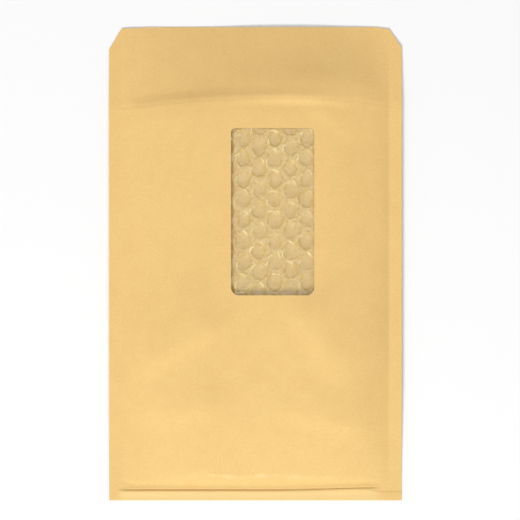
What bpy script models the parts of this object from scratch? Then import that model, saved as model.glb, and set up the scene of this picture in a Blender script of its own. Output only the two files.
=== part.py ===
"""A windowed padded envelope, size C/13, lying on its back with the flap open.

A kraft paper sleeve is folded once, along the bottom edge, and glued to itself down both sides. A
pouch of bubble film lines it, with the smooth film against the paper and the bubbles facing in. The
front has a window cut through the paper only. Under the flap are an adhesive strip and its liner.

Metres, +Z up. X runs across the envelope and Y along it, from the bottom fold to the tip of the
flap. The origin is on the surface that the envelope lies on, under the middle of its outline.
"""

import math

import bmesh
import bpy

MM = 0.001

# Outline
WIDTH = 170 * MM
LENGTH = 275 * MM  # bottom fold to flap tip
FLAP = 46 * MM
SEAM = 7.5 * MM  # glued margin down each side
LIP = 5.6 * MM  # flat strip between the bottom fold and the padding
PAPER = 0.15 * MM

# Section: heights over the surface it lies on
CROWN = 12.0 * MM  # top of the front panel
SEAM_LIFT = 3.0 * MM  # the glued margins hang in the air beside the padding
LIP_LIFT = 0.6 * MM  # middle of the folded lip
LIP_GAP = 0.4 * MM  # between the two plies inside the lip
SEAM_RISE = 70 * MM  # length over which the margins climb from lip to full lift
FRONT_RISE = 120 * MM  # length over which the front panel climbs from lip to crown
FRONT_POWER = 4.0  # how square the front panel's cross-section is
RISE_POWER = 3.2  # how quickly the front panel climbs from the lip
FLAT_START = 24 * MM  # from the lip's crease to where the back lies flat
FLAT_WIDE = 52 * MM  # half width of the flat part of the back there
FLAT_NARROW = 18 * MM  # and at the mouth, whose corners lift a little
TIP_MIDDLE = 8.8 * MM  # height of the flap's tip at mid width
TIP_SIDE = 5.4 * MM  # height of the flap's tip at its sides

# Window in the front panel
WINDOW_LEFT, WINDOW_RIGHT = -14.0 * MM, 34.0 * MM
WINDOW_LOW, WINDOW_HIGH = -18.2 * MM, 78.4 * MM
WINDOW_R_LOW, WINDOW_R_HIGH = 4.5 * MM, 2.6 * MM

# Cut corners of the flap: a steep cut in from the side, then a shallow one along the tip
CORNERS = {
    "left": {"side": -1, "inset": 7.2 * MM, "drop": 13.1 * MM, "run": 16.5 * MM, "dip": 0.9 * MM},
    "right": {"side": 1, "inset": 7.2 * MM, "drop": 11.7 * MM, "run": 7.4 * MM, "dip": 1.1 * MM},
}

# Bubble film
CLEARANCE = 0.3 * MM  # between paper and film, less where the pocket closes
FILM = 0.25 * MM
BUBBLE_HIGH = 2.6 * MM
BUBBLE_PITCH = 11.9 * MM  # along a column of bubbles
COLUMN_STEP = 9.15 * MM  # between neighbouring columns, which are staggered by half a pitch
BUBBLE_X, BUBBLE_Y = 2.2 * MM, 66.9 * MM  # centre of one bubble
LINING_HALF = 72.0 * MM  # half width of the pouch
WELD = 1.5 * MM  # joined edge round the pouch
LINING_LOW_GAP = 5.0 * MM  # between the lip's inner end and the pouch
LINING_MOUTH_GAP = 2.0 * MM  # the pouch ends this far short of the paper's mouth
CLOSED_SHARE = 0.8  # share of the free height that bubbles may fill where the pouch closes

# Adhesive strip and release liner under the flap
STRIP_WIDE, STRIP_HALF, STRIP_FROM_TIP = 14 * MM, 72 * MM, 12 * MM
LINER_WIDE, LINER_HALF, LINER_FROM_TIP = 24 * MM, 79 * MM, 7 * MM
STRIP_THICK = 0.12 * MM
LINER_THICK = 0.12 * MM
STACK_GAP = 0.3 * MM  # between flap, strip and liner

# Derived places
HALF = WIDTH / 2
TIP_Y = LENGTH / 2
FOLD_Y = -LENGTH / 2
MOUTH_Y = TIP_Y - FLAP
CREASE_Y = FOLD_Y + LIP
POCKET_HALF = HALF - SEAM
FOLD_R = PAPER + LIP_GAP / 2
ROW_END_Y = FOLD_Y + FOLD_R


def eased(t):
    """0 to 1 as t runs from 0 to 1, with level ends."""
    t = min(max(t, 0.0), 1.0)
    return t * t * (3 - 2 * t)


def seam_height(y):
    """Height of the plane where the two plies meet in the glued margins."""
    return LIP_LIFT + (SEAM_LIFT - LIP_LIFT) * eased((y - CREASE_Y) / SEAM_RISE)


def front_share(x):
    """How much of the front panel's rise there is at x: 1 at mid width, 0 from the seams outwards."""
    return max(0.0, 1 - abs(x / POCKET_HALF) ** FRONT_POWER)


def back_share(x, y):
    """The same for the back panel: 1 where it lies flat, 0 from the seams outwards."""
    along = min(max((y - CREASE_Y - FLAT_START) / (MOUTH_Y - CREASE_Y - FLAT_START), 0.0), 1.0)
    flat = FLAT_WIDE + (FLAT_NARROW - FLAT_WIDE) * along
    return 1 - min(max((abs(x) - flat) / (POCKET_HALF - flat), 0.0), 1.0)


def rise(y):
    """0 at the lip's crease, 1 where the panel has reached its full height."""
    along = min(max((y - CREASE_Y) / FRONT_RISE, 0.0), 1.0)
    return 1 - (1 - along) ** RISE_POWER


def pocket_top(x, y):
    """Height of the front ply's inner face, up to the mouth."""
    seam = seam_height(y)
    up = LIP_GAP / 2 + (CROWN - PAPER - seam - LIP_GAP / 2) * rise(y)
    return seam + up * front_share(x)


def pocket_bottom(x, y):
    """Height of the back ply's inner face."""
    seam = seam_height(y)
    down = LIP_GAP / 2 + (seam - PAPER - LIP_GAP / 2) * min(1.0, 2 * rise(y))
    return seam - down * back_share(x, y)


def front_inner(x, y):
    """Height of the front ply's inner face, in the pocket and under the flap."""
    if y <= MOUTH_Y:
        return pocket_top(x, y)
    along = (y - MOUTH_Y) / FLAP
    tip = TIP_SIDE + (TIP_MIDDLE - TIP_SIDE) * (1 - (x / HALF) ** 2) - PAPER
    return (1 - along) * pocket_top(x, MOUTH_Y) + along * tip


def material(name, colour, roughness):
    made = bpy.data.materials.new(name)
    made.use_nodes = True
    shader = made.node_tree.nodes["Principled BSDF"]
    shader.inputs["Base Color"].default_value = (*colour, 1.0)
    shader.inputs["Roughness"].default_value = roughness
    shader.inputs["Metallic"].default_value = 0.0
    return made


def finished(name, mesh_data, finish):
    """Links the mesh as a smooth-shaded object with its faces pointing out."""
    bmesh.ops.recalc_face_normals(mesh_data, faces=mesh_data.faces)
    mesh = bpy.data.meshes.new(name)
    mesh_data.to_mesh(mesh)
    mesh_data.free()
    mesh.shade_smooth()
    mesh.set_sharp_from_angle(angle=math.radians(40))
    mesh.materials.append(finish)
    made = bpy.data.objects.new(name, mesh)
    bpy.context.scene.collection.objects.link(made)
    return made


def quads(mesh_data, grid, columns, rows):
    """Faces between neighbouring vertices of grid[i, j], for these ranges of cells."""
    for i in columns:
        for j in rows:
            mesh_data.faces.new((grid[i, j], grid[i + 1, j], grid[i + 1, j + 1], grid[i, j + 1]))


def wall(mesh_data, first, second):
    """A strip of faces between two rows of vertices. Where the rows share a vertex it narrows to a point."""
    for a, b, c, d in zip(first, first[1:], second[1:], second):
        corners = list(dict.fromkeys((a, b, c, d)))
        if len(corners) > 2:
            mesh_data.faces.new(corners)


def mirrored(values):
    """The values at and right of the middle, with their mirror images left of it."""
    return [-v for v in reversed(values) if v > 0] + list(values)


def fold_arc(mesh_data, x, radius, depth, steps):
    """Vertices round the bottom fold at x, from the front ply to the back ply, ends left out."""
    turned = (math.pi * k / steps for k in range(1, steps))
    return [
        mesh_data.verts.new(
            (x, ROW_END_Y - depth * math.sin(angle), LIP_LIFT + radius * math.cos(angle))
        )
        for angle in turned
    ]


def paper_columns():
    return mirrored([v * MM for v in (0, 9, 18, 27, 36, 44, 52, 59, 66, 72)] + [POCKET_HALF, HALF])


def paper_rows():
    """Rows from the bottom fold to the mouth, and those of the flap after it."""
    pocket = [ROW_END_Y, (ROW_END_Y + CREASE_Y) / 2, CREASE_Y]
    pocket += [CREASE_Y + v * MM for v in (3, 8, 15, 24, 35, 48, 64, 82, 104, 126, 147, 168, 189, 208)]
    pocket += [MOUTH_Y]
    flap = [MOUTH_Y + FLAP * share for share in (0.15, 0.35, 0.55, 0.75, 1.0)]
    return pocket, flap


def sleeve_mesh():
    """The folded sheet: both plies, the glued margins, the fold and the flap, as one closed body."""
    made = bmesh.new()
    xs = paper_columns()
    pocket, flap = paper_rows()
    ys = pocket + flap
    last, mouth, tip = len(xs) - 1, len(pocket) - 1, len(ys) - 1
    inner = [i for i, x in enumerate(xs) if abs(x) <= POCKET_HALF + 1e-9]
    left, right = inner[0], inner[-1]
    outside_top, inside_top, inside_low, outside_low = {}, {}, {}, {}
    for j, y in enumerate(ys):
        for i, x in enumerate(xs):
            height = front_inner(x, y)
            outside_top[i, j] = made.verts.new((x, y, height + PAPER))
            if j >= mouth or left <= i <= right or i in (0, last):
                inside_top[i, j] = made.verts.new((x, y, height))
            if j > mouth:
                continue
            low = pocket_bottom(x, y)
            outside_low[i, j] = made.verts.new((x, y, low - PAPER))
            if left < i < right:
                inside_low[i, j] = made.verts.new((x, y, low))
            elif left <= i <= right:
                inside_low[i, j] = inside_top[i, j]

    quads(made, outside_top, range(last), range(tip))
    quads(made, inside_top, range(left, right), range(mouth))
    quads(made, inside_top, range(last), range(mouth, tip))
    quads(made, inside_low, range(left, right), range(mouth))
    quads(made, outside_low, range(last), range(mouth))

    def row(grid, j, columns):
        return [grid[i, j] for i in columns]

    for i in (0, last):
        edge = range(tip + 1)
        wall(made, [outside_top[i, j] for j in edge], [inside_top[i, j] for j in edge])
        margin = range(mouth + 1)
        wall(made, [inside_top[i, j] for j in margin], [outside_low[i, j] for j in margin])
    every = range(last + 1)
    wall(made, row(outside_top, tip, every), row(inside_top, tip, every))
    pocket_wide = range(left, right + 1)
    wall(made, row(inside_low, mouth, pocket_wide), row(outside_low, mouth, pocket_wide))
    for margin in (range(left + 1), range(right, last + 1)):
        wall(made, row(inside_top, mouth, margin), row(outside_low, mouth, margin))

    outer = {}
    for i, x in enumerate(xs):
        radius = PAPER + LIP_GAP / 2 * front_share(x)
        arc = fold_arc(made, x, radius, FOLD_R, 4)
        outer[i] = [outside_top[i, 0], *arc, outside_low[i, 0]]
    inside = {left: [inside_top[left, 0]] * 3, right: [inside_top[right, 0]] * 3}
    for i in range(left + 1, right):
        gap = LIP_GAP / 2 * front_share(xs[i])
        inside[i] = [inside_top[i, 0], *fold_arc(made, xs[i], gap, gap, 2), inside_low[i, 0]]
    for arcs in (outer, inside):
        for i in sorted(arcs)[:-1]:
            wall(made, arcs[i], arcs[i + 1])
    for i in (0, last):
        made.faces.new([*outer[i], inside_top[i, 0]])
    return made


def prism(name, outline, low, high):
    """A hidden cutter: the outline, from height low to height high."""
    made = bmesh.new()
    bottom = [made.verts.new((x, y, low)) for x, y in outline]
    base = made.faces.new(bottom)
    raised = bmesh.ops.extrude_face_region(made, geom=[base])["geom"]
    lifted = [v for v in raised if isinstance(v, bmesh.types.BMVert)]
    bmesh.ops.translate(made, verts=lifted, vec=(0, 0, high - low))
    bmesh.ops.recalc_face_normals(made, faces=made.faces)
    mesh = bpy.data.meshes.new(name)
    made.to_mesh(mesh)
    made.free()
    cutter = bpy.data.objects.new(name, mesh)
    cutter.hide_render = True
    cutter.display_type = "WIRE"
    bpy.context.scene.collection.objects.link(cutter)
    return cutter


def window_outline():
    """The window's edge, anticlockwise, with round corners."""
    corners = (
        (WINDOW_RIGHT - WINDOW_R_LOW, WINDOW_LOW + WINDOW_R_LOW, WINDOW_R_LOW, -90),
        (WINDOW_RIGHT - WINDOW_R_HIGH, WINDOW_HIGH - WINDOW_R_HIGH, WINDOW_R_HIGH, 0),
        (WINDOW_LEFT + WINDOW_R_HIGH, WINDOW_HIGH - WINDOW_R_HIGH, WINDOW_R_HIGH, 90),
        (WINDOW_LEFT + WINDOW_R_LOW, WINDOW_LOW + WINDOW_R_LOW, WINDOW_R_LOW, 180),
    )
    steps = 5
    return [
        (x + r * math.cos(math.radians(start + 90 * k / steps)),
         y + r * math.sin(math.radians(start + 90 * k / steps)))
        for x, y, r, start in corners
        for k in range(steps + 1)
    ]


def corner_outline(side, inset, drop, run, dip):
    """What is cut off one corner of the flap. The slanting cuts carry on past the paper."""
    slope = (drop - dip) / inset
    beyond = 3 * MM
    points = [
        (HALF + beyond, TIP_Y - drop - slope * beyond),
        (HALF - inset, TIP_Y - dip),
        (HALF - inset - run, TIP_Y),
        (HALF - inset - run - beyond, TIP_Y + dip * beyond / run),
        (HALF - inset - run - beyond, TIP_Y + beyond),
        (HALF + beyond, TIP_Y + beyond),
    ]
    return [(side * x, y) for x, y in points]


def cut(target, cutter):
    trim = target.modifiers.new(cutter.name, "BOOLEAN")
    trim.operation = "DIFFERENCE"
    trim.object = cutter


def make_sleeve(kraft):
    sleeve = finished("paper_sleeve", sleeve_mesh(), kraft)
    cut(sleeve, prism("window_cutter", window_outline(), CROWN / 2, CROWN * 2))
    for name, corner in CORNERS.items():
        cut(sleeve, prism(f"corner_cutter_{name}", corner_outline(**corner), -CROWN, CROWN * 2))
    return sleeve


def lattice(start, low, high, step, margin):
    """Half steps of the bubble lattice between low and high, ends added: [(value, index)], ends with None."""
    first = math.ceil((low + margin - start) / (step / 2))
    end = math.floor((high - margin - start) / (step / 2))
    inner = [(start + k * step / 2, k) for k in range(first, end + 1)]
    return [(low, None), *inner, (high, None)]


def lining_outer(x, y):
    """Heights of the pouch's smooth outer faces, (front, back)."""
    top, low = pocket_top(x, y), pocket_bottom(x, y)
    clear = min(CLEARANCE, (top - low) / 4)
    return top - clear, low + clear


def lining_inner(x, y, at_centre):
    """Heights of the pouch's inner faces, on a bubble's top or on the film between bubbles."""
    top, low = lining_outer(x, y)
    film = min(FILM, (top - low) / 6)
    free = (top - low) / 2 - film
    high = min(BUBBLE_HIGH, CLOSED_SHARE * free) if at_centre else 0.0
    return top - film - high, low + film + high


def lining_mesh():
    """The pouch: two layers of bubble film, joined at the sides and the bottom and open at the mouth."""
    made = bmesh.new()
    low_y, high_y = CREASE_Y + LINING_LOW_GAP, MOUTH_Y - LINING_MOUTH_GAP
    pouch_half = LINING_HALF - WELD
    columns = lattice(BUBBLE_X, -pouch_half, pouch_half, COLUMN_STEP, COLUMN_STEP / 4)
    rows = lattice(BUBBLE_Y, low_y + WELD, high_y, BUBBLE_PITCH, BUBBLE_PITCH / 4)
    last, mouth = len(columns) - 1, len(rows) - 1
    inside_top, inside_low = {}, {}
    for i, (x, column) in enumerate(columns):
        for j, (y, step) in enumerate(rows):
            closed = i in (0, last) or j == 0
            on_lattice = column is not None and step is not None
            between = on_lattice and column % 2
            if between:
                # Columns between bubbles zigzag, so that each bubble stands in a hexagon.
                nearer = 1 if (column // 2 + step) % 2 else -1
                place = x + nearer * COLUMN_STEP / 6
            else:
                place = x
            centre = on_lattice and not between and (column // 2 + step) % 2 == 0
            top, low = lining_inner(place, y, centre)
            if closed:
                inside_top[i, j] = made.verts.new((place, y, (top + low) / 2))
                inside_low[i, j] = inside_top[i, j]
            else:
                inside_top[i, j] = made.verts.new((place, y, top))
                inside_low[i, j] = made.verts.new((place, y, low))
    for grid in (inside_top, inside_low):
        for i in range(last):
            for j in range(mouth):
                bubble_cell(made, grid, i, j, columns, rows)

    # The smooth faces need fewer points: every other column and row of the lattice.
    wide = sorted({0, *range(1, last, 2), last})
    long = sorted({0, *range(1, mouth, 2), mouth})
    outside_top, outside_low = {}, {}
    for i in wide:
        for j in long:
            x = {0: -LINING_HALF, last: LINING_HALF}.get(i, columns[i][0])
            y = rows[j][0] if j else low_y
            top, low = lining_outer(x, y)
            outside_top[i, j] = made.verts.new((x, y, top))
            outside_low[i, j] = made.verts.new((x, y, low))
    for grid in (outside_top, outside_low):
        for i, i_next in zip(wide, wide[1:]):
            for j, j_next in zip(long, long[1:]):
                made.faces.new((grid[i, j], grid[i_next, j], grid[i_next, j_next], grid[i, j_next]))
    for i in (0, last):
        wall(made, [outside_top[i, j] for j in long], [outside_low[i, j] for j in long])
        made.faces.new((outside_top[i, mouth], outside_low[i, mouth], inside_top[i, mouth]))
    wall(made, [outside_top[i, 0] for i in wide], [outside_low[i, 0] for i in wide])
    for outside, inside in ((outside_top, inside_top), (outside_low, inside_low)):
        for i, i_next in zip(wide, wide[1:]):
            passed = [inside[k, mouth] for k in range(i_next, i - 1, -1)]
            made.faces.new([outside[i, mouth], outside[i_next, mouth], *passed])
    return made


def bubble_cell(mesh_data, grid, i, j, columns, rows):
    """Two triangles, split along the diagonal from the cell's bubble or from a corner of the pouch."""
    corners = [(i, j), (i + 1, j), (i + 1, j + 1), (i, j + 1)]

    def leads(corner):
        column, step = columns[corner[0]][1], rows[corner[1]][1]
        if column is None or step is None:
            return column is None and corner[1] == 0
        return column % 2 == 0 and (column // 2 + step) % 2 == 0

    start = next((k for k, corner in enumerate(corners) if leads(corner)), 0)
    a, b, c, d = (grid[corner] for corner in corners[start:] + corners[:start])
    mesh_data.faces.new((a, b, c))
    mesh_data.faces.new((a, c, d))


def under_flap(name, finish, half, wide, from_tip, depth, thick):
    """A flat strip across the flap's inner face, depth below it."""
    made = bmesh.new()
    inner = [x for x in paper_columns() if abs(x) < half - 1 * MM]
    xs = [-half, *inner, half]
    high_y = TIP_Y - from_tip
    ys = [high_y - wide, high_y]
    top, low = {}, {}
    for i, x in enumerate(xs):
        for j, y in enumerate(ys):
            height = front_inner(x, y) - depth
            top[i, j] = made.verts.new((x, y, height))
            low[i, j] = made.verts.new((x, y, height - thick))
    last = len(xs) - 1
    for grid in (top, low):
        quads(made, grid, range(last), range(1))
    for j in (0, 1):
        wall(made, [top[i, j] for i in range(last + 1)], [low[i, j] for i in range(last + 1)])
    for i in (0, last):
        wall(made, [top[i, 0], top[i, 1]], [low[i, 0], low[i, 1]])
    return finished(name, made, finish)


def main():
    for old in list(bpy.data.objects):
        bpy.data.objects.remove(old)
    kraft = material("kraft_paper", (0.80, 0.54, 0.20), 0.75)
    film = material("bubble_film", (0.80, 0.74, 0.60), 0.25)
    glue = material("adhesive", (0.85, 0.78, 0.55), 0.35)
    silicone = material("release_paper", (0.90, 0.88, 0.82), 0.45)
    make_sleeve(kraft)
    finished("bubble_lining", lining_mesh(), film)
    under_flap("adhesive_strip", glue, STRIP_HALF, STRIP_WIDE, STRIP_FROM_TIP, STACK_GAP, STRIP_THICK)
    liner_depth = 2 * STACK_GAP + STRIP_THICK
    under_flap("release_liner", silicone, LINER_HALF, LINER_WIDE, LINER_FROM_TIP, liner_depth, LINER_THICK)


main()
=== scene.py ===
"""A windowed padded envelope of kraft paper and bubble film, lying on its back with the flap open.

Metres, +Z up. X runs across the envelope and Y along it, from the bottom fold to the tip of the flap.
"""

import math

import bmesh
import bpy
import numpy as np
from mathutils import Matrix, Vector


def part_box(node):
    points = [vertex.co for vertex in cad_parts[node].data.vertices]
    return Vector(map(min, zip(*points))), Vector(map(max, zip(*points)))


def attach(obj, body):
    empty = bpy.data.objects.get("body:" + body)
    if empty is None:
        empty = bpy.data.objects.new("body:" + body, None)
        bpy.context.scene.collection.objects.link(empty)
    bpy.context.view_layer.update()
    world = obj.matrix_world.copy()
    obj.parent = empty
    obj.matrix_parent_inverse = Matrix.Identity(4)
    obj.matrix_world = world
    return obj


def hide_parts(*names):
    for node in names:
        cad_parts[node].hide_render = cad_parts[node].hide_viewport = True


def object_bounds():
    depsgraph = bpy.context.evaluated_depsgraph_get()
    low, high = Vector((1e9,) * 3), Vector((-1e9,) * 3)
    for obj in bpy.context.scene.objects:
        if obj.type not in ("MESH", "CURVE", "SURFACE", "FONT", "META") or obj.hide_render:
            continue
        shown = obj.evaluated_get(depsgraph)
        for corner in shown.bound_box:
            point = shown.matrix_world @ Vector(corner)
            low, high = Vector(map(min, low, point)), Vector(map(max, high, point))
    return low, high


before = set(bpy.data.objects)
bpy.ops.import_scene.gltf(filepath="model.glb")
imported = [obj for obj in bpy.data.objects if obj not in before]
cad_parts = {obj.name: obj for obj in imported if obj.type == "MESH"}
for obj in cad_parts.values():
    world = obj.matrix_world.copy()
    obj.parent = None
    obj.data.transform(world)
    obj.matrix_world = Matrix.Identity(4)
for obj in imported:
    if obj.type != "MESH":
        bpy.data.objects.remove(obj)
cad_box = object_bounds()

MM = 0.001
PAPER_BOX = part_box("paper_sleeve")
HALF = (PAPER_BOX[1][0] - PAPER_BOX[0][0]) / 2
FOLD_Y, TIP_Y = PAPER_BOX[0][1], PAPER_BOX[1][1]
CROWN = PAPER_BOX[1][2]

# Sleeve
FLAP = 46 * MM
SEAM = 7.5 * MM
LIP = 6.1 * MM
PAPER = 0.15 * MM
SEAM_LIFT = 3.0 * MM
LIP_LIFT = 0.6 * MM
LIP_GAP = 0.4 * MM
SEAM_RISE = 70 * MM
FRONT_RISE = 120 * MM
FRONT_POWER = 4.0
RISE_POWER = 3.2
FLAT_START = 24 * MM
FLAT_WIDE, FLAT_NARROW = 52 * MM, 18 * MM
TIP_MIDDLE = 1.2 * MM
TIP_SIDE = 0.4 * MM
FLAP_DROOP = 1.06  # over 1, the flap falls fastest next to the mouth
FLAP_START = 1.5 * MM  # how far past the scored line the flap begins to fall
HEADROOM = 0.6 * MM  # left under the crown for the buckles
PLY_GAP = 0.02 * MM
BACK_SAG = 0.10 * MM
FOLD_STEPS = 8
MOUTH_Y = TIP_Y - FLAP
CREASE_Y = FOLD_Y + LIP
POCKET_HALF = HALF - SEAM
FOLD_R = PAPER + LIP_GAP / 2
ROW_END_Y = FOLD_Y + FOLD_R

# Window and cut corners
WINDOW_LEFT, WINDOW_RIGHT = -14.0 * MM, 34.0 * MM
WINDOW_LOW, WINDOW_HIGH = -18.2 * MM, 78.4 * MM
WINDOW_R_LOW, WINDOW_R_HIGH = 4.5 * MM, 2.6 * MM
CORNERS = (
    {"side": -1, "inset": 7.2 * MM, "drop": 13.1 * MM, "run": 16.5 * MM, "dip": 0.9 * MM},
    {"side": 1, "inset": 7.2 * MM, "drop": 11.7 * MM, "run": 7.4 * MM, "dip": 1.1 * MM},
)

# Bubble film
LINING_HALF = 72.0 * MM
LINING_LOW = CREASE_Y + 5 * MM
LINING_HIGH = MOUTH_Y - 2 * MM
COLUMN_STEP, PITCH = 9.15 * MM, 11.9 * MM
BUBBLE_X, BUBBLE_Y = 2.2 * MM, 66.9 * MM
BUBBLE_RX, BUBBLE_RY = 4.9 * MM, 5.6 * MM
DIMPLE = 0.34 * MM
BUBBLE_HIGH = 2.6 * MM
COLUMNS, ROWS = 15, 17
ANCHOR_ROWS = 7  # rows from the lattice's middle up to the bubble at BUBBLE_X, BUBBLE_Y
BACK_SHIFT = (3.4 * MM, -3.1 * MM)  # of the back layer's bubbles against the front's
WANDER = 0.4 * MM  # of each bubble's dimple from its place in the lattice
WRINKLES = 5  # per bubble
WRINKLE_HIGH = 0.12 * MM
FILM_GAP = 0.5 * MM  # from the paper to the middle of the smooth film
FILM_SAG, WINDOW_SAG = 0.35 * MM, 1.5 * MM
DOME_CLEARANCE = 1.0 * MM  # from the domes to the middle of the pocket
FINE_CELL, COARSE_CELL = 0.45 * MM, 1.9 * MM

# Strips under the flap: half length, width, distance from the tip
ADHESIVE = 72 * MM, 14 * MM, 12 * MM
LINER = 79 * MM, 24 * MM, 7 * MM
STRIP_THICK = 0.12 * MM

# Strips' depth below the flap's inner face
ADHESIVE_DEPTH, LINER_DEPTH = 0.1 * MM, 0.3 * MM

# Studio. A lamp is its place, width and power.
FLOOR_HALF = 2.4
KEY_LAMP = (-1.08, -2.96, 2.46), 1.4, 108.0
TOP_LAMP = (0.1, 0.1, 2.3), 1.6, 18.3
WORLD_LIGHT = 0.30
SEEN_ACROSS = 302.0 * MM
VIEW_SHIFT = (2.7 * MM, 2.2 * MM)
FOCUS_HEIGHT = CROWN * 0.2


# Shapes of the paper -------------------------------------------------------------------------


def eased(t):
    """A soft climb from exactly 0 at t = 0 to exactly 1 at t = 1."""
    t = np.clip(t, 0.0, 1.0)
    return t * t * (3 - 2 * t)


def step(t):
    """A soft step from 0 to 1 about t = 0, where it is 0.5. It has no exact end."""
    return 0.5 + 0.5 * np.tanh(2 * t)


def bell(t, power=2):
    """1 at t = 0, falling away on both sides; a higher power gives a flatter top."""
    return np.exp(-(t**power))


def seam_height(y):
    """Height of the join between the plies, the same on both sides."""
    return LIP_LIFT + (SEAM_LIFT - LIP_LIFT) * eased((y - CREASE_Y) / SEAM_RISE)


def front_share(x):
    """How much of the padding's rise the front takes at x: 1 in the middle, 0 at the seams."""
    return np.maximum(0.0, 1 - np.abs(x / POCKET_HALF) ** FRONT_POWER)


def back_share(x, y):
    """1 where the back lies flat, falling to 0 at the seams. The flat part narrows to the mouth."""
    along = np.clip((y - CREASE_Y - FLAT_START) / (MOUTH_Y - CREASE_Y - FLAT_START), 0.0, 1.0)
    flat = FLAT_WIDE + (FLAT_NARROW - FLAT_WIDE) * along
    return 1 - np.clip((np.abs(x) - flat) / (POCKET_HALF - flat), 0.0, 1.0)


def rise(y):
    """How far the padding has filled out, from 0 at the bottom crease to 1."""
    along = np.clip((y - CREASE_Y) / FRONT_RISE, 0.0, 1.0)
    return 1 - (1 - along) ** RISE_POWER


def pocket_top(x, y):
    seam = seam_height(y)
    up = LIP_GAP / 2 + (CROWN - HEADROOM - PAPER - seam - LIP_GAP / 2) * rise(y)
    return seam + up * front_share(x)


def pocket_bottom(x, y):
    seam = seam_height(y)
    down = LIP_GAP / 2 + (seam - PAPER - LIP_GAP / 2) * np.minimum(1.0, 2 * rise(y))
    return seam - down * back_share(x, y)


def ripple(x, y, wavelength, seed):
    """Gentle random waves between about -1 and 1."""
    dice = np.random.default_rng(seed)
    total = 0.0
    for _ in range(7):
        turn = dice.uniform(0, 2 * math.pi)
        phase = dice.uniform(0, 2 * math.pi)
        stretch = dice.uniform(0.7, 1.5)
        rate = 2 * math.pi / (wavelength * stretch)
        total = total + np.cos(rate * (x * math.cos(turn) + y * math.sin(turn)) + phase)
    return total / 3.5


def ridge(x, y, start, end, width, height):
    """A soft ridge between two points. Everything but x and y is in millimetres."""
    (x0, y0), (x1, y1) = start, end
    dx, dy = x1 - x0, y1 - y0
    px, py = x / MM - x0, y / MM - y0
    t = np.clip((px * dx + py * dy) / (dx * dx + dy * dy), 0, 1)
    gap = (px - t * dx) ** 2 + (py - t * dy) ** 2
    return height * MM * np.exp(-gap / width**2)


def mouth_line(x):
    """Y of the scored line where the flap starts: it bows towards the tip in the middle."""
    off = (x - 15 * MM) / np.where(x < 15 * MM, 86 * MM, 68 * MM)
    return MOUTH_Y - 0.6 * MM + 5.2 * MM * np.maximum(0.0, 1 - off * off)


def mouth_fold(x, y):
    """What the scored line does to the front ply.

    A crest along it, highest right of the middle, with a valley before it and a drop after it. The
    flap is lifted, most at the right. The left side hangs lower, and a dip crosses the left half.
    """
    across = x / MM
    past = (y - mouth_line(x)) / MM
    inside = POCKET_HALF - np.abs(x)
    bold = 0.12 + 1.35 * bell((across - 23) / 23)
    crest = bold * step((past + 1.7) / 4.4) * (1 - step((past - 4.0) / 24.0))
    valley = -0.22 * bold * bell((past + 4.2) / 2.6)
    drop = -0.20 * bell((across - 2) / 48, 4) * step((past - 3.0) / 5.5)
    left = -0.60 * (1 - eased((across + 45) / 40)) * eased((past + 10) / 12)
    right = 0.5 + 1.3 * step((across - 30) / 30)
    lift = right * (1 - np.exp(-np.maximum(past - 1.5, 0) / 11)) * (1 - step((past - 20) / 26))
    side = eased(inside / (18 * MM))
    share = 1 - 0.7 * eased((across + 40) / 45) - 0.3 * eased((across - 5) / 25)
    slack = eased((past + 3) / 10) - eased((past - 8) / 34)
    dip = -1.2 * share * slack * eased(inside / (12 * MM))
    return (crest + drop + valley + (left + lift) * side + dip) * MM


def lip_line(x):
    """Y of the creased line above the bottom fold. It climbs a little towards the right."""
    return CREASE_Y + 0.15 * MM + 1.15 * MM * eased((x / MM - 10) / 60)


def past_tail(x, y):
    """Millimetres above the short second groove at the right, which falls towards the corner."""
    return y / MM - (CREASE_Y / MM + 0.5 - 1.6 * eased((x / MM - 62) / 16))


def lip_fold(x, y):
    """The creased groove, the roll of paper under it, and the short grooves at its two ends."""
    across = x / MM
    past = (y - lip_line(x)) / MM
    reach = step((across + 78) / 3) * (1 - step((across - 70) / 5))
    groove = -0.55 * bell(past / 0.40) * reach
    roll = 0.50 * bell((past + 1.1) / 2.2) * reach
    hollow = -0.45 * bell((past - 2.6) / 2.0) * reach
    tail = -0.26 * bell(past_tail(x, y) / 0.32) * step((across - 66) / 4)
    left = y / MM - (CREASE_Y / MM - 0.4)
    start = -0.10 * bell(left / 0.35) * (1 - step((across + 79) / 3))
    return (groove + roll + hollow + tail + start) * MM


def bend(x, y, start, end, width, height):
    """A soft step up on the left of the line from start to end, which eases off further out.

    Everything but x and y is in millimetres.
    """
    (x0, y0), (x1, y1) = start, end
    long = math.hypot(x1 - x0, y1 - y0)
    dx, dy = (x1 - x0) / long, (y1 - y0) / long
    px, py = x / MM - x0, y / MM - y0
    along = (px * dx + py * dy) / long - 0.5
    off = py * dx - px * dy
    lift = 0.5 * (1 + np.tanh(off / width)) * bell(np.maximum(off, 0) / (6 * width))
    return height * MM * lift * bell(along / 0.5, 4)


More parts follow.
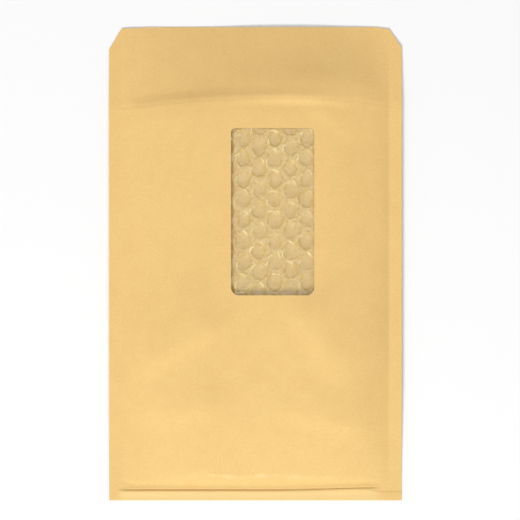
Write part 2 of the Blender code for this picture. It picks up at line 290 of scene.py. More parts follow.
# Each bend and ridge of the front ply: start, end, width and height in millimetres
BENDS = (
    ((-66, -66), (-18, -38), 5.0, 2.4),
    ((20, -26), (45, -68), 6.5, 2.9),
    ((26, 92), (54, 73), 3.5, 0.7),
    ((-62, -93), (-20, -86), 5.0, 1.6),
    ((14, -88), (64, -101), 5.0, 1.6),
    ((-30, -126.4), (52, -125.4), 1.7, 0.42),
    ((-62, -125.2), (-24, -126.8), 2.2, 0.26),
)
BUCKLES = (
    ((-44, -80), (-10, -62), 9.0, -0.30),
    ((4, -52), (24, -82), 9.0, -0.30),
    ((60, 66), (66, 18), 9.0, -0.38),
    ((-62, 70), (-50, 20), 10.0, -0.20),
    ((-40, 10), (-60, -30), 11.0, 0.24),
    ((-24, -122.2), (-6, -123.6), 1.2, 0.16),
    ((2, -121.6), (10, -123.4), 0.9, 0.13),
    ((18, -122.0), (21, -125.4), 0.9, 0.16),
    ((26, -124.4), (46, -122.8), 1.2, 0.15),
    ((-70, 104), (-30, 118), 12.0, 0.22),
    ((20, 112), (62, 104), 8.0, 0.20),
    ((-20, 108), (40, 106), 5.0, 0.14),
    ((-10, 126), (30, 118), 12.0, -0.25),
)


def buckles(x, y):
    """The soft dents that paper over bubble film takes, fading out on the glued margins."""
    total = sum(ridge(x, y, *each) for each in BUCKLES) + sum(bend(x, y, *each) for each in BENDS)
    total = total + 0.22 * MM * ripple(x, y, 74 * MM, 3) + 0.045 * MM * ripple(x, y, 21 * MM, 8)
    off_side = step((POCKET_HALF - np.abs(x)) / (9 * MM) - 0.4)
    off_lip = step((y - CREASE_Y) / (10 * MM) - 0.3)
    return total * (0.12 + 0.88 * (off_side * off_lip))


def front_inner(x, y):
    """Height of the front ply's inner face, in the pocket and under the flap."""
    pocket = pocket_top(x, np.minimum(y, MOUTH_Y))
    start = mouth_line(x) + FLAP_START
    along = np.clip((y - start) / (TIP_Y - start), 0.0, 1.0)
    tip = TIP_SIDE + (TIP_MIDDLE - TIP_SIDE) * (1 - (x / HALF) ** 2)
    fall = 1 - (1 - along) ** FLAP_DROOP
    smooth = (1 - fall) * pocket + fall * tip
    shaped = smooth + mouth_fold(x, y) + lip_fold(x, y) + buckles(x, y)
    return np.where(y < MOUTH_Y, np.maximum(shaped, pocket_bottom(x, y) + PLY_GAP), shaped)


# Mesh building -------------------------------------------------------------------------------


def spaced(stops):
    """Values from the first stop to the last. A stop is a place and the spacing after it, in mm."""
    values = [stops[0][0]]
    for (low, gap), (high, _) in zip(stops, stops[1:]):
        count = max(1, round(abs(high - low) / gap))
        values += [low + (high - low) * (k + 1) / count for k in range(count)]
    return np.array(values) * MM


def grid_faces(columns, rows):
    """Faces of a grid of vertices that is stored row by row."""
    i, j = np.meshgrid(np.arange(columns - 1), np.arange(rows - 1), indexing="ij")
    base = (j * columns + i).ravel()
    return np.stack([base, base + 1, base + 1 + columns, base + columns], axis=1).tolist()


def linked(name, data):
    made = bpy.data.objects.new(name, data)
    bpy.context.scene.collection.objects.link(made)
    return made


def plain(piece, name, finish):
    """Applies the piece's modifiers and returns it as a new plain object with this finish."""
    shown = piece.evaluated_get(bpy.context.evaluated_depsgraph_get())
    mesh = bpy.data.meshes.new_from_object(shown)
    bpy.data.objects.remove(piece)
    mesh.name = name
    mesh.materials.clear()
    mesh.materials.append(finish)
    mesh.shade_smooth()
    mesh.set_sharp_from_angle(angle=math.radians(42))
    return linked(name, mesh)


def prism(outline, low, high):
    """Vertices and faces of an upright prism."""
    count = len(outline)
    verts = [(x, y, low) for x, y in outline] + [(x, y, high) for x, y in outline]
    faces = [tuple(reversed(range(count))), tuple(range(count, 2 * count))]
    faces += [(k, (k + 1) % count, count + (k + 1) % count, count + k) for k in range(count)]
    return verts, faces


def window_outline():
    """The window's rounded outline, anticlockwise from its lower right corner."""
    corners = (
        (WINDOW_RIGHT - WINDOW_R_LOW, WINDOW_LOW + WINDOW_R_LOW, WINDOW_R_LOW, -90),
        (WINDOW_RIGHT - WINDOW_R_HIGH, WINDOW_HIGH - WINDOW_R_HIGH, WINDOW_R_HIGH, 0),
        (WINDOW_LEFT + WINDOW_R_HIGH, WINDOW_HIGH - WINDOW_R_HIGH, WINDOW_R_HIGH, 90),
        (WINDOW_LEFT + WINDOW_R_LOW, WINDOW_LOW + WINDOW_R_LOW, WINDOW_R_LOW, 180),
    )
    steps = 12
    turns = [math.radians(90 * k / steps) for k in range(steps + 1)]
    return [
        (x + r * math.cos(math.radians(start) + turn), y + r * math.sin(math.radians(start) + turn))
        for x, y, r, start in corners
        for turn in turns
    ]


def corner_outline(side, inset, drop, run, dip):
    """What is cut off one corner of the flap: a slope, then a flatter run up to the tip."""
    slope = (drop - dip) / inset
    beyond = 3 * MM
    points = [
        (HALF + beyond, TIP_Y - drop - slope * beyond),
        (HALF - inset, TIP_Y - dip),
        (HALF - inset - run, TIP_Y),
        (HALF - inset - run - beyond, TIP_Y + dip * beyond / run),
        (HALF - inset - run - beyond, TIP_Y + beyond),
        (HALF + beyond, TIP_Y + beyond),
    ]
    placed = [(side * x, y) for x, y in points]
    return placed[::-1] if side > 0 else placed


def die_cutter():
    """The window's prism, which stays above the back ply, and those of the two corners, as one mesh."""
    verts, faces = [], []
    above_back, over_all = CROWN * 0.55, CROWN * 2
    cuts = [(window_outline(), above_back, over_all)]
    cuts += [(corner_outline(**corner), -CROWN, over_all) for corner in CORNERS]
    for outline, low, high in cuts:
        more, sides = prism(outline, low, high)
        faces += [tuple(len(verts) + k for k in side) for side in sides]
        verts += more
    mesh = bpy.data.meshes.new("die_cutter")
    mesh.from_pydata(verts, [], faces)
    return linked("die_cutter", mesh)


def store(mesh, name, amount):
    """Keeps a number for each vertex, which the finish reads by this name."""
    layer = mesh.attributes.new(name, "FLOAT", "POINT")
    layer.data.foreach_set("value", np.ascontiguousarray(amount))


def mark_creases(mesh):
    """Stores where painted shade darkens the front face and where a painted highlight lightens it."""
    points = np.empty(len(mesh.vertices) * 3)
    mesh.vertices.foreach_get("co", points)
    x, y, z = points.reshape(-1, 3).T
    across = x / MM
    past = (y - lip_line(x)) / MM
    reach = step((across + 79) / 3) * (1 - step((across - 71) / 5))
    groove = bell(past / 0.45) * reach
    tail = 0.8 * bell(past_tail(x, y) / 0.35) * step((across - 66) / 4)
    scored = 0.22 * bell(((y - mouth_line(x)) / MM + 0.6) / 0.5)
    strip = (1 - step((past + 1.2) / 0.8)) * reach
    crumple = (y / MM + 123.3 - 0.5 * np.sin(across / 5.5)) / (1.0 + 0.3 * np.sin(across / 3.1))
    crumple = bell(crumple) * step((across + 40) / 12) * (1 - step((across - 32) / 12))
    crumple = crumple * (0.55 + 0.45 * np.sin(across / 2.1) * np.sin(across / 5.7 + 1))
    front = z > seam_height(y) - 0.5 * PAPER
    # Painted shade: the front face is darker in the grooves above the bottom fold and along the scored
    # line.
    painted_crease_shade = np.maximum(np.maximum(groove, tail), scored)
    # Painted highlight: lighter on the strip under the groove and on the crumples just above it.
    painted_highlight = np.maximum(0.55 * strip, 0.75 * crumple)
    store(mesh, "painted_crease_shade", np.where(front, painted_crease_shade, 0.0))
    store(mesh, "painted_highlight", np.where(front, painted_highlight, 0.0))


def line_across(xs, y, heights):
    """One row of points across the sheet."""
    return np.stack([xs, np.full_like(xs, y), heights], 1)


def sheet_columns():
    """Places of the sheet's columns, closer where the front falls off to the seams."""
    side, half = POCKET_HALF / MM, HALF / MM
    right = spaced([(0, 1.6), (side - 4, 0.7), (side + 1.5, 1.2), (half, 1.2)])
    return np.concatenate([-right[:0:-1], right])


def sheet_rows(xs):
    """Rows of points from the flap's tip down the front, round the bottom fold and up the back."""
    tip, mouth, crease, end = (v / MM for v in (TIP_Y, MOUTH_Y, CREASE_Y, ROW_END_Y))
    stops = [(tip, 1.6), (mouth + 13, 0.9), (mouth - 4, 1.6), (crease + 24, 0.9)]
    front = spaced(stops + [(crease + 6, 0.42), (end, 1)])
    back = spaced([(end, 1.0), (crease + 6, 4.0), (mouth, 1)])
    rows = [line_across(xs, y, front_inner(xs, y) + PAPER / 2) for y in front]
    above = front_inner(xs, ROW_END_Y) + PAPER / 2
    below = pocket_bottom(xs, ROW_END_Y) - PAPER / 2
    middle, spread = (above + below) / 2, (above - below) / 2
    for k in range(1, FOLD_STEPS):
        turn = math.pi * k / FOLD_STEPS
        out = ROW_END_Y - FOLD_R * math.sin(turn)
        rows.append(line_across(xs, out, middle + spread * math.cos(turn)))
    for y in back:
        share = back_share(xs, y) * eased((y - CREASE_Y) / (20 * MM))
        dent = np.abs(BACK_SAG * ripple(xs, y, 60 * MM, 5) * share)
        rows.append(line_across(xs, y, pocket_bottom(xs, y) - PAPER / 2 + dent))
    return rows


def paper_sleeve(finish):
    """One sheet folded at the bottom, given its thickness and die-cut."""
    xs = sheet_columns()
    rows = sheet_rows(xs)
    mesh = bpy.data.meshes.new("sheet")
    mesh.from_pydata(np.concatenate(rows).tolist(), [], grid_faces(len(xs), len(rows)))
    sheet = linked("sheet", mesh)
    wall = sheet.modifiers.new("wall", "SOLIDIFY")
    wall.thickness = PAPER
    wall.offset = 0.0
    trim = sheet.modifiers.new("trim", "BOOLEAN")
    trim.operation = "DIFFERENCE"
    trim.solver = "EXACT"
    cutter = die_cutter()
    trim.object = cutter
    made = plain(sheet, "kraft_sleeve", finish)
    bpy.data.objects.remove(cutter)
    mark_creases(made.data)
    return made


# Node trees ----------------------------------------------------------------------------------


class Value:
    """A node's output that can be used in sums. Each sum adds a Math node."""

    def __init__(self, nodes, socket):
        self.nodes = nodes
        self.socket = socket

    def sum(self, operation, *terms):
        return self.nodes.add("ShaderNodeMath", {"operation": operation}, dict(enumerate(terms)))

    def __add__(self, other):
        return self.sum("ADD", self, other)

    def __radd__(self, other):
        return self.sum("ADD", other, self)

    def __sub__(self, other):
        return self.sum("SUBTRACT", self, other)

    def __rsub__(self, other):
        return self.sum("SUBTRACT", other, self)

    def __mul__(self, other):
        return self.sum("MULTIPLY", self, other)

    def __rmul__(self, other):
        return self.sum("MULTIPLY", other, self)

    def __truediv__(self, other):
        return self.sum("DIVIDE", self, other)

    def __mod__(self, other):
        return self.sum("MODULO", self, other)

    def __pow__(self, other):
        return self.sum("POWER", self, other)

    def __gt__(self, other):
        return self.sum("GREATER_THAN", self, other)

    def __abs__(self):
        return self.sum("ABSOLUTE", self)

    def clamped(self):
        return self.sum("MINIMUM", self.sum("MAXIMUM", self, 0.0), 1.0)

    def whole(self):
        return self.sum("FLOOR", self)


class Nodes:
    """Adds nodes to a material's tree or a geometry tree."""

    def __init__(self, tree):
        self.tree = tree

    def add(self, kind, settings=None, inputs=None, output=0):
        """A node of this kind, its settings made first, then its sockets set or linked."""
        made = self.tree.nodes.new(kind)
        for name, value in (settings or {}).items():
            setattr(made, name, value)
        for key, value in (inputs or {}).items():
            if isinstance(value, Value):
                self.tree.links.new(value.socket, made.inputs[key])
            else:
                made.inputs[key].default_value = value
        return Value(self, made.outputs[output]) if made.outputs else made

    def stored(self, name):
        """A number that was stored at the vertices."""
        return self.add("ShaderNodeAttribute", {"attribute_name": name}, {}, "Fac")

    def bump(self, height, strength, distance):
        sockets = {"Strength": strength, "Distance": distance, "Height": height}
        return self.add("ShaderNodeBump", {}, sockets)

    def vector(self, operation, inputs, output=0):
        return self.add("ShaderNodeVectorMath", {"operation": operation}, inputs, output)

    def noise(self, place, scale, detail=3.0, roughness=0.55):
        sockets = {"Vector": place, "Scale": scale, "Detail": detail, "Roughness": roughness}
        return self.add("ShaderNodeTexNoise", {}, sockets)

    def stretched(self, place, turn, scale):
        """Coordinates turned about Z and scaled, for fibres."""
        sockets = {"Vector": place, "Rotation": (0, 0, math.radians(turn)), "Scale": scale}
        return self.add("ShaderNodeMapping", {}, sockets)

    def mixed(self, factor, first, second, blend="MIX"):
        """Two colours mixed."""
        settings = {"data_type": "RGBA", "blend_type": blend}
        return self.add("ShaderNodeMix", settings, {0: factor, 6: first, 7: second}, 2)

    def between(self, value, low, high):
        """How far value has gone from low to high, kept within 0 and 1."""
        sockets = {"Value": value, "From Min": low, "From Max": high}
        return self.add("ShaderNodeMapRange", {}, sockets)


def new_finish(name):
    """An empty material, its nodes and the place on the piece."""
    made = bpy.data.materials.new(name)
    made.use_nodes = True
    made.node_tree.nodes.clear()
    nodes = Nodes(made.node_tree)
    place = nodes.add("ShaderNodeTexCoord", {}, {}, "Object")
    return made, nodes, place


def paper_fibre(nodes, place):
    """Fine crossed fibres, from 0 to 1 about 0.5."""
    along = nodes.noise(nodes.stretched(place, 8, (900, 3800, 900)), 1.0, 4.0, 0.6)
    across = nodes.noise(nodes.stretched(place, -63, (1100, 4200, 1100)), 1.0, 4.0, 0.6)
    return (along + across) * 0.5


def kraft_finish():
    """Golden brown kraft: cloudy, with crossed fibres, a few dark shives and paler worn edges."""
    made, nodes, place = new_finish("kraft_paper")
    fibre = paper_fibre(nodes, place)
    cloud = nodes.noise(place, 130.0, 3.0, 0.6)
    wide = nodes.noise(place, 22.0, 2.0, 0.5)
    tooth = nodes.noise(place, 1500.0, 3.0, 0.75)
    specks = nodes.noise(nodes.stretched(place, 31, (420, 2300, 420)), 1.0, 1.0, 0.4)
    shives = nodes.between(specks, 0.70, 0.78)
    tone = nodes.between(fibre * 0.51 + cloud * 0.10 + wide * 0.06 + tooth * 0.33, 0.375, 0.625)
    base = nodes.mixed(tone, (0.785, 0.492, 0.170, 1), (0.925, 0.640, 0.254, 1))
    base = nodes.mixed(shives * 0.22, base, (0.52, 0.30, 0.10, 1))
    across = nodes.add("ShaderNodeSeparateXYZ", {}, {"Vector": place}, "X")
    edge = nodes.between(abs(across), HALF - 0.7 * MM, HALF)
    worn = edge * nodes.between(cloud, 0.35, 0.65)
    base = nodes.mixed(worn * 0.30, base, (0.93, 0.72, 0.40, 1))
    # Painted shade: darker in the grooves and along the scored line.
    base = nodes.mixed(nodes.stored("painted_crease_shade") * 0.43, base, (0.42, 0.23, 0.07, 1))
    # Painted highlight on the strip under the groove and on the crumples above it.
    base = nodes.mixed(nodes.stored("painted_highlight") * 0.60, base, (0.97, 0.76, 0.36, 1))
    rough = 0.62 + 0.16 * fibre
    bump = nodes.bump(fibre * 0.6 + tooth * 0.4, 0.30, 0.1 * MM)
    sockets = {"Base Color": base, "Roughness": rough, "Normal": bump, "Specular IOR Level": 0.25}
    shader = nodes.add("ShaderNodeBsdfPrincipled", {}, sockets)
    nodes.add("ShaderNodeOutputMaterial", {}, {"Surface": shader})
    return made


def film_finish():
    """Clear film, hazier where seen edge on or creased, wrinkled round each bubble, with painted light: a
    tan reflection of the kraft, shade at the rims, glints on the creases.
    """
    made, nodes, place = new_finish("bubble_film")
    facing = nodes.add("ShaderNodeLayerWeight", {}, {"Blend": 0.35}, "Facing")
    rim, web, crease = nodes.stored("rim"), nodes.stored("web"), nodes.stored("crease")
    haze = nodes.noise(place, 160.0, 3.0, 0.6)
    crinkle = nodes.noise(nodes.stretched(place, 20, (1.0, 1.0, 1.0)), 300.0, 2.0, 0.5)
    folds = (1 - abs(crinkle * 2 - 1)) ** 4 * (0.30 + 0.70 * rim)
    cover = 0.42 + 0.10 * haze + 0.25 * facing**1.6 + 0.20 * folds + 0.10 * web + 0.36 * crease
    bump = nodes.bump(folds * 0.32 + haze * 0.32, 1.0, 0.8 * MM)
    rough = 0.10 + 0.10 * haze
    # Tinted tan: a painted reflection of the kraft behind the clear film.
    tint = nodes.mixed(haze, (0.90, 0.63, 0.222, 1), (0.92, 0.675, 0.262, 1))
    # Painted shade: the film is a little darker at each bubble's rim.
    tint = nodes.mixed(rim * 0.07, tint, (0.72, 0.50, 0.22, 1))
    # Creases are whitened: partly the haze of creased film, partly a painted glint.
    tint = nodes.mixed((crease * 1.05).clamped(), tint, (1.0, 0.90, 0.46, 1))
    sockets = {"Base Color": tint, "Roughness": rough, "Normal": bump, "Specular IOR Level": 0.75}
    body = nodes.add("ShaderNodeBsdfPrincipled", {}, sockets)
    clear = nodes.add("ShaderNodeBsdfTransparent", {}, {"Color": (0.985, 0.975, 0.95, 1)})
    shader = nodes.add("ShaderNodeMixShader", {}, {0: cover.clamped(), 1: clear, 2: body})
    nodes.add("ShaderNodeOutputMaterial", {}, {"Surface": shader})
    return made


def adhesive_finish():
    """Tacky pale yellow adhesive, a little uneven."""
    made, nodes, place = new_finish("adhesive")
    flow = nodes.noise(nodes.stretched(place, 90, (220, 60, 220)), 1.0, 3.0)
    base = nodes.mixed(flow, (0.74, 0.63, 0.36, 1), (0.84, 0.76, 0.52, 1))
    bump = nodes.bump(flow, 0.4, 0.2 * MM)
    sockets = {"Base Color": base, "Roughness": 0.22 + 0.2 * flow, "Normal": bump}
    shader = nodes.add("ShaderNodeBsdfPrincipled", {}, sockets)
    nodes.add("ShaderNodeOutputMaterial", {}, {"Surface": shader})
    return made


def release_finish():
    """White silicone-coated paper with a faint fibre and a satin face."""
    made, nodes, place = new_finish("release_paper")
    fibre = paper_fibre(nodes, place)
    cloud = nodes.noise(place, 90.0)
    tone = nodes.between(fibre, 0.3, 0.7)
    base = nodes.mixed(tone, (0.83, 0.81, 0.75, 1), (0.90, 0.885, 0.83, 1))
    bump = nodes.bump(fibre + cloud, 0.2, 0.1 * MM)
    sockets = {"Base Color": base, "Roughness": 0.34 + 0.14 * cloud, "Normal": bump}
    shader = nodes.add("ShaderNodeBsdfPrincipled", {}, sockets)
    nodes.add("ShaderNodeOutputMaterial", {}, {"Surface": shader})
    return made


# Bubble film ---------------------------------------------------------------------------------


def bubble_tree():
    """Staggered columns of domes on the plane z = 0, standing up, each a little different."""
    tree = bpy.data.node_groups.new("bubble_rows", "GeometryNodeTree")
    face = tree.interface
    face.new_socket("Geometry", in_out="OUTPUT", socket_type="NodeSocketGeometry")
    dials = (
        ("Columns", "NodeSocketInt", COLUMNS),
        ("Rows", "NodeSocketInt", ROWS),
        ("Column step", "NodeSocketFloat", COLUMN_STEP),
        ("Pitch", "NodeSocketFloat", PITCH),
        ("Half width", "NodeSocketFloat", BUBBLE_RX),
        ("Half length", "NodeSocketFloat", BUBBLE_RY),
        ("Height", "NodeSocketFloat", BUBBLE_HIGH),
        ("Unevenness", "NodeSocketFloat", 0.1),
        ("Seed", "NodeSocketInt", 1),
    )
    for name, kind, value in dials:
        face.new_socket(name, in_out="INPUT", socket_type=kind).default_value = value
    face.new_socket("Film", in_out="INPUT", socket_type="NodeSocketMaterial")
    nodes = Nodes(tree)
    start = tree.nodes.new("NodeGroupInput")
    given = {socket.name: Value(nodes, socket) for socket in start.outputs if socket.name}

    ball = {"Segments": 14, "Rings": 8, "Radius": 1.0}
    sphere = nodes.add("GeometryNodeMeshUVSphere", {}, ball, "Mesh")
    place = nodes.add("GeometryNodeInputPosition")
    depth = nodes.add("ShaderNodeSeparateXYZ", {}, {"Vector": place}, "Z")
    lower_half = {"Geometry": sphere, "Selection": depth * -1 > 0.01}
    cup = nodes.add("GeometryNodeDeleteGeometry", {"domain": "POINT"}, lower_half)
    flat = nodes.vector("MULTIPLY", {0: place, 1: (1, 1, 0)})
    out = nodes.vector("LENGTH", {0: flat}, "Value")
    raised = nodes.add("ShaderNodeCombineXYZ", {}, {"Z": 1 - out**2.6})
    shaped = nodes.vector("ADD", {0: flat, 1: raised})
    dome = nodes.add("GeometryNodeSetPosition", {}, {"Geometry": cup, "Position": shaped})

    columns, rows = given["Columns"], given["Rows"]
    lattice = {
        "Size X": (columns - 1) * given["Column step"],
        "Size Y": (rows - 1) * given["Pitch"],
        "Vertices X": columns,
        "Vertices Y": rows,
    }
    grid = nodes.add("GeometryNodeMeshGrid", {}, lattice, "Mesh")
    index = nodes.add("GeometryNodeInputIndex")
    column = ((index + 0.5) / rows).whole()
    odd = column % 2
    slip = 0.35 * MM
    ends = {0: (-slip, -slip, 0), 1: (slip, slip, 0), "Seed": given["Seed"]}
    jitter = nodes.add("FunctionNodeRandomValue", {"data_type": "FLOAT_VECTOR"}, ends)
    slide = nodes.add("ShaderNodeCombineXYZ", {}, {"Y": (odd * -0.5 + 0.5) * given["Pitch"]})
    moved = nodes.vector("ADD", {0: slide, 1: jitter})
    spots = nodes.add("GeometryNodeSetPosition", {}, {"Geometry": grid, "Offset": moved})
    ends = {0: (-1, -1, -1.6), 1: (0.35, 0.35, 0.6), "Seed": given["Seed"] + 7}
    scatter = nodes.add("FunctionNodeRandomValue", {"data_type": "FLOAT_VECTOR"}, ends)
    part = nodes.vector("SCALE", {0: scatter, "Scale": given["Unevenness"]})
    whole = nodes.vector("ADD", {0: part, 1: (1, 1, 1)})
    halves = {"X": given["Half width"], "Y": given["Half length"], "Z": given["Height"]}
    size = nodes.add("ShaderNodeCombineXYZ", {}, halves)
    scale = nodes.vector("MULTIPLY", {0: whole, 1: size})
    stood = {"Points": spots, "Instance": dome, "Scale": scale}
    domes = nodes.add("GeometryNodeInstanceOnPoints", {}, stood)
    real = nodes.add("GeometryNodeRealizeInstances", {}, {"Geometry": domes})
    here = nodes.add("GeometryNodeInputPosition")
    cloud = {"Vector": here, "Scale": 330.0, "Detail": 2.0, "Roughness": 0.6}
    dents = nodes.add("ShaderNodeTexNoise", {}, cloud, "Color")
    centred = nodes.vector("SUBTRACT", {0: dents, 1: (0.5, 0.5, 0.5)})
    high = nodes.add("ShaderNodeSeparateXYZ", {}, {"Vector": here}, "Z")
    push = nodes.vector("SCALE", {0: centred, "Scale": high * 0.9})
    crumpled = nodes.add("GeometryNodeSetPosition", {}, {"Geometry": real, "Offset": push})
    dressed = {"Geometry": crumpled, "Material": given["Film"]}
    finished = nodes.add("GeometryNodeSetMaterial", {}, dressed)
    nodes.add("NodeGroupOutput", {}, {"Geometry": finished})
    return tree


def bubbles(tree, film, seed):
    """The domes of one layer as arrays, standing up from z = 0: (points, faces)."""
    piece = linked("bubbles", bpy.data.meshes.new("bubbles"))
    grown = piece.modifiers.new("grown", "NODES")
    grown.node_group = tree
    for item in tree.interface.items_tree:
        if item.name == "Seed":
            grown[item.identifier] = seed
        if item.name == "Film":
            grown[item.identifier] = film
    shown = piece.evaluated_get(bpy.context.evaluated_depsgraph_get())
    mesh = bpy.data.meshes.new_from_object(shown)
    points = np.empty(len(mesh.vertices) * 3)
    mesh.vertices.foreach_get("co", points)
    faces = [tuple(face.vertices) for face in mesh.polygons]
    bpy.data.objects.remove(piece)
    bpy.data.meshes.remove(mesh)
    return points.reshape(-1, 3), faces


def nearest_bubble(x, y, x0, y0):
    """For each point: (distance, bearing, tag) of the nearest bubble; the distance is 1 at its rim."""
    column = np.round((x - x0) / COLUMN_STEP)
    far_off = 9.0
    best, bearing, tag = np.full_like(x, far_off), np.zeros_like(x), np.zeros_like(x)
    for shift in (-1, 0, 1):
        c = column + shift
        stagger = np.where(np.mod(c, 2) == 0, 0.0, 0.5) * PITCH
        row = np.round((y - y0 - stagger) / PITCH)
        spin = 12.9 * c + 78.2 * row
        off_x = (x - x0 - c * COLUMN_STEP - WANDER * np.sin(spin)) / BUBBLE_RX
        off_y = (y - y0 - stagger - row * PITCH - WANDER * np.cos(1.7 * spin)) / BUBBLE_RY
        turn = np.arctan2(off_y, off_x)
        size = 0.97 + 0.05 * np.sin(2.3 * spin)
        size = size + 0.04 * np.sin(3 * turn + spin) + 0.02 * np.sin(7 * turn - spin)
        away = np.hypot(off_x, off_y) / size
        nearer = away < best
        best = np.where(nearer, away, best)
        bearing = np.where(nearer, turn, bearing)
        tag = np.where(nearer, spin, tag)
    return best, bearing, tag


def wrinkles(away, bearing, tag):
    """Short sharp creases that run round a bubble, most of them on its upper left."""
    total = np.zeros_like(away)
    for k in range(WRINKLES):
        dice = np.mod(np.sin(tag * (k + 1.3)) * 43.7, 1.0)
        centre = 2.2 + 1.2 * np.sin(1.9 * tag + 2.1 * k)
        gap = np.angle(np.exp(1j * (bearing - centre)))
        line = (away - 0.45 - 0.5 * dice - (0.9 * dice - 0.35) * gap) / 0.06
        bold = np.maximum(0.0, 1.5 * dice - 0.5)
        total = np.maximum(total, bold * bell(line) * bell(gap / (0.18 + 0.3 * dice), 4))
    return total


def film_edge(x, y):
    """1 inside the pouch, falling to 0 at its joined sides and bottom."""
    side = eased((LINING_HALF - np.abs(x)) / (5 * MM))
    return side * eased((y - LINING_LOW) / (6 * MM))


def film_heights(x, y, front):
    """Height of one layer's smooth film. The front one sags most behind the window."""
    top = pocket_top(x, y) + buckles(x, y) + np.minimum(mouth_fold(x, y), 0)
    low = pocket_bottom(x, y)
    gap = np.minimum(FILM_GAP, (top - low) / 4)
    middle = (top + low) / 2
    wave = 0.12 * MM * ripple(x, y, 17 * MM, 21 if front else 22)
    soft = 9 * MM
    near_x = step((x - WINDOW_LEFT + soft) / soft) * step((WINDOW_RIGHT + soft - x) / soft)
    near_y = step((y - WINDOW_LOW + soft) / soft) * step((WINDOW_HIGH + 7 * MM - y) / soft)
    sag = FILM_SAG + WINDOW_SAG * near_x * near_y
    outer = top - gap - sag + wave if front else low + gap + 0.2 * MM + np.abs(wave)
    return middle + (outer - middle) * film_edge(x, y)


def film_stops(low, high, fine_low, fine_high, fine):
    """Grid lines from low to high: fine cells between fine_low and fine_high, coarse ones outside."""
    parts = []
    stretches = ((low, fine_low, COARSE_CELL), (fine_low, fine_high, fine), (fine_high, high, COARSE_CELL))
    for start, end, cell in stretches:
        parts.append(np.linspace(start, end, int((end - start) / cell) + 1, endpoint=False))
    return np.append(np.concatenate(parts), high)


def smooth_film(front, x0, y0):
    """The flat side of one layer, dimpled over each bubble: (points, marks, faces)."""
    cell, spare = (FINE_CELL if front else COARSE_CELL), 2 * MM
    xs = film_stops(-LINING_HALF, LINING_HALF, WINDOW_LEFT - spare, WINDOW_RIGHT + spare, cell)
    ys = film_stops(LINING_LOW, LINING_HIGH, WINDOW_LOW - spare, WINDOW_HIGH + spare, cell)
    grid_x, grid_y = np.meshgrid(xs, ys)
    x, y = grid_x.ravel(), grid_y.ravel()
    away, bearing, tag = nearest_bubble(x, y, x0, y0)
    crease = wrinkles(away, bearing, tag)
    depth = DIMPLE * (0.85 + 0.25 * np.sin(3.1 * tag))
    dimple = (depth * np.clip(1 - away**2.4, 0, 1) - WRINKLE_HIGH * crease) * film_edge(x, y)
    height = film_heights(x, y, front) + (-dimple if front else 0.3 * dimple)
    rim, web = bell((away - 0.97) / 0.17), step((away - 0.85) / 0.2)
    faces = grid_faces(len(xs), len(ys))
    if not front:
        faces = [face[::-1] for face in faces]
    return np.stack([x, y, height], 1), np.stack([rim, web, crease], 1), faces


def dome_layer(tree, film, front, x0, y0):
    """One layer's domes, which face into the pocket: (points, marks, faces)."""
    domes, faces = bubbles(tree, film, 3 if front else 11)
    x, y = domes[:, 0] + x0, domes[:, 1] + y0 - ANCHOR_ROWS * PITCH
    base = film_heights(x, y, front)
    free = (pocket_top(x, y) - pocket_bottom(x, y)) / 2 - DOME_CLEARANCE
    tall = domes[:, 2] * np.clip(free / BUBBLE_HIGH, 0.05, 1.0)
    z = base - tall if front else base + tall
    if front:
        faces = [face[::-1] for face in faces]
    return np.stack([x, y, z], 1), np.zeros((len(x), 3)), faces


def bubble_lining(film):
    """The pouch: smooth film front and back, joined at its edge, and domes that face inwards."""
    points, marks, faces = [], [], []
    tree = bubble_tree()
    count = 0
    for front, (shift_x, shift_y) in ((True, (0, 0)), (False, BACK_SHIFT)):
        x0, y0 = BUBBLE_X + shift_x, BUBBLE_Y + shift_y
        for part in (smooth_film(front, x0, y0), dome_layer(tree, film, front, x0, y0)):
            points.append(part[0])
            marks.append(part[1])
            faces += [tuple(count + k for k in face) for face in part[2]]
            count += len(part[0])
    mesh = bpy.data.meshes.new("bubble_film")
    mesh.from_pydata(np.concatenate(points).tolist(), [], faces)
    for name, amount in zip(("rim", "web", "crease"), np.concatenate(marks).T):
        store(mesh, name, amount)
    joined = bmesh.new()
    joined.from_mesh(mesh)
    bmesh.ops.remove_doubles(joined, verts=joined.verts, dist=0.01 * MM)
    joined.to_mesh(mesh)
    joined.free()
    mesh.shade_smooth()
    mesh.materials.append(film)
    return linked("bubble_pouch", mesh)


# Strips under the flap -----------------------------------------------------------------------


def under_flap(name, finish, half, wide, from_tip, depth):
    """A thin strip that follows the flap's inner face, depth below it."""
    columns, rows = 90, 12
    xs = np.linspace(-half, half, columns)
    ys = np.linspace(TIP_Y - from_tip - wide, TIP_Y - from_tip, rows)
    grid_x, grid_y = np.meshgrid(xs, ys)
    x, y = grid_x.ravel(), grid_y.ravel()
    mesh = bpy.data.meshes.new(name)
    height = front_inner(x, y) - depth
    mesh.from_pydata(np.stack([x, y, height], 1).tolist(), [], grid_faces(columns, rows))
    strip = linked(name + "_sheet", mesh)
    wall = strip.modifiers.new("wall", "SOLIDIFY")
    wall.thickness = STRIP_THICK
    wall.offset = -1.0
    return plain(strip, name, finish)


# Studio --------------------------------------------------------------------------------------


def lamp(name, place, size, power):
    """A round soft lamp aimed at the origin. The camera doesn't see it."""
    data = bpy.data.lights.new(name, "AREA")
    data.shape = "DISK"
    data.size = size
    data.energy = power
    made = linked(name, data)
    made.location = place
    made.rotation_euler = (-Vector(place)).to_track_quat("-Z", "Y").to_euler()
    made.visible_camera = False


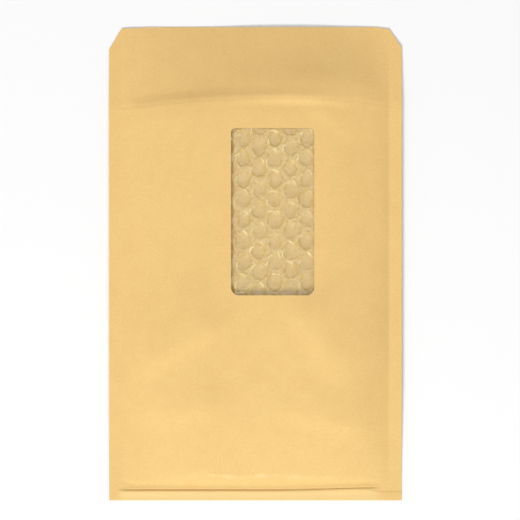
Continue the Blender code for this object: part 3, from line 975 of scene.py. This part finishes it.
def studio():
    """The floor, the lamps and a camera that looks straight down."""
    low, high = cad_box
    span = FLOOR_HALF
    mesh = bpy.data.meshes.new("floor")
    corners = [(-span, -span), (span, -span), (span, span), (-span, span)]
    mesh.from_pydata([(x, y, low[2]) for x, y in corners], [], [(0, 1, 2, 3)])
    floor = linked("floor", mesh)
    finish, nodes, _ = new_finish("floor_white")
    sockets = {"Base Color": (0.97, 0.97, 0.97, 1), "Roughness": 0.9, "Specular IOR Level": 0.1}
    shader = nodes.add("ShaderNodeBsdfPrincipled", {}, sockets)
    nodes.add("ShaderNodeOutputMaterial", {}, {"Surface": shader})
    mesh.materials.append(finish)

    scene = bpy.context.scene
    world = bpy.data.worlds.new("studio")
    world.use_nodes = True
    back = world.node_tree.nodes["Background"]
    back.inputs["Color"].default_value = (1.0, 1.0, 1.0, 1.0)
    back.inputs["Strength"].default_value = WORLD_LIGHT
    scene.world = world
    scene.view_settings.view_transform = "Standard"
    scene.view_settings.look = "None"
    lamp("key", *KEY_LAMP)
    lamp("top", *TOP_LAMP)

    camera = bpy.data.cameras.new("camera")
    camera.lens = 200
    camera.sensor_width = 36
    camera.clip_start = 0.05
    camera.clip_end = 20
    view = linked("camera", camera)
    middle_x, middle_y = (low[0] + high[0]) / 2, (low[1] + high[1]) / 2
    distance = SEEN_ACROSS * camera.lens / camera.sensor_width
    view.location = (middle_x + VIEW_SHIFT[0], middle_y + VIEW_SHIFT[1], FOCUS_HEIGHT + distance)
    view.rotation_euler = (0, 0, 0)
    scene.camera = view


def main():
    kraft = kraft_finish()
    film = film_finish()
    sleeve = paper_sleeve(kraft)
    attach(sleeve, "root")
    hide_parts("paper_sleeve")
    pouch = bubble_lining(film)
    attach(pouch, "root")
    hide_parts("bubble_lining")
    strip = under_flap("adhesive_band", adhesive_finish(), *ADHESIVE, ADHESIVE_DEPTH)
    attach(strip, "root")
    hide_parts("adhesive_strip")
    cover = under_flap("liner_strip", release_finish(), *LINER, LINER_DEPTH)
    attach(cover, "root")
    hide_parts("release_liner")
    studio()


main()
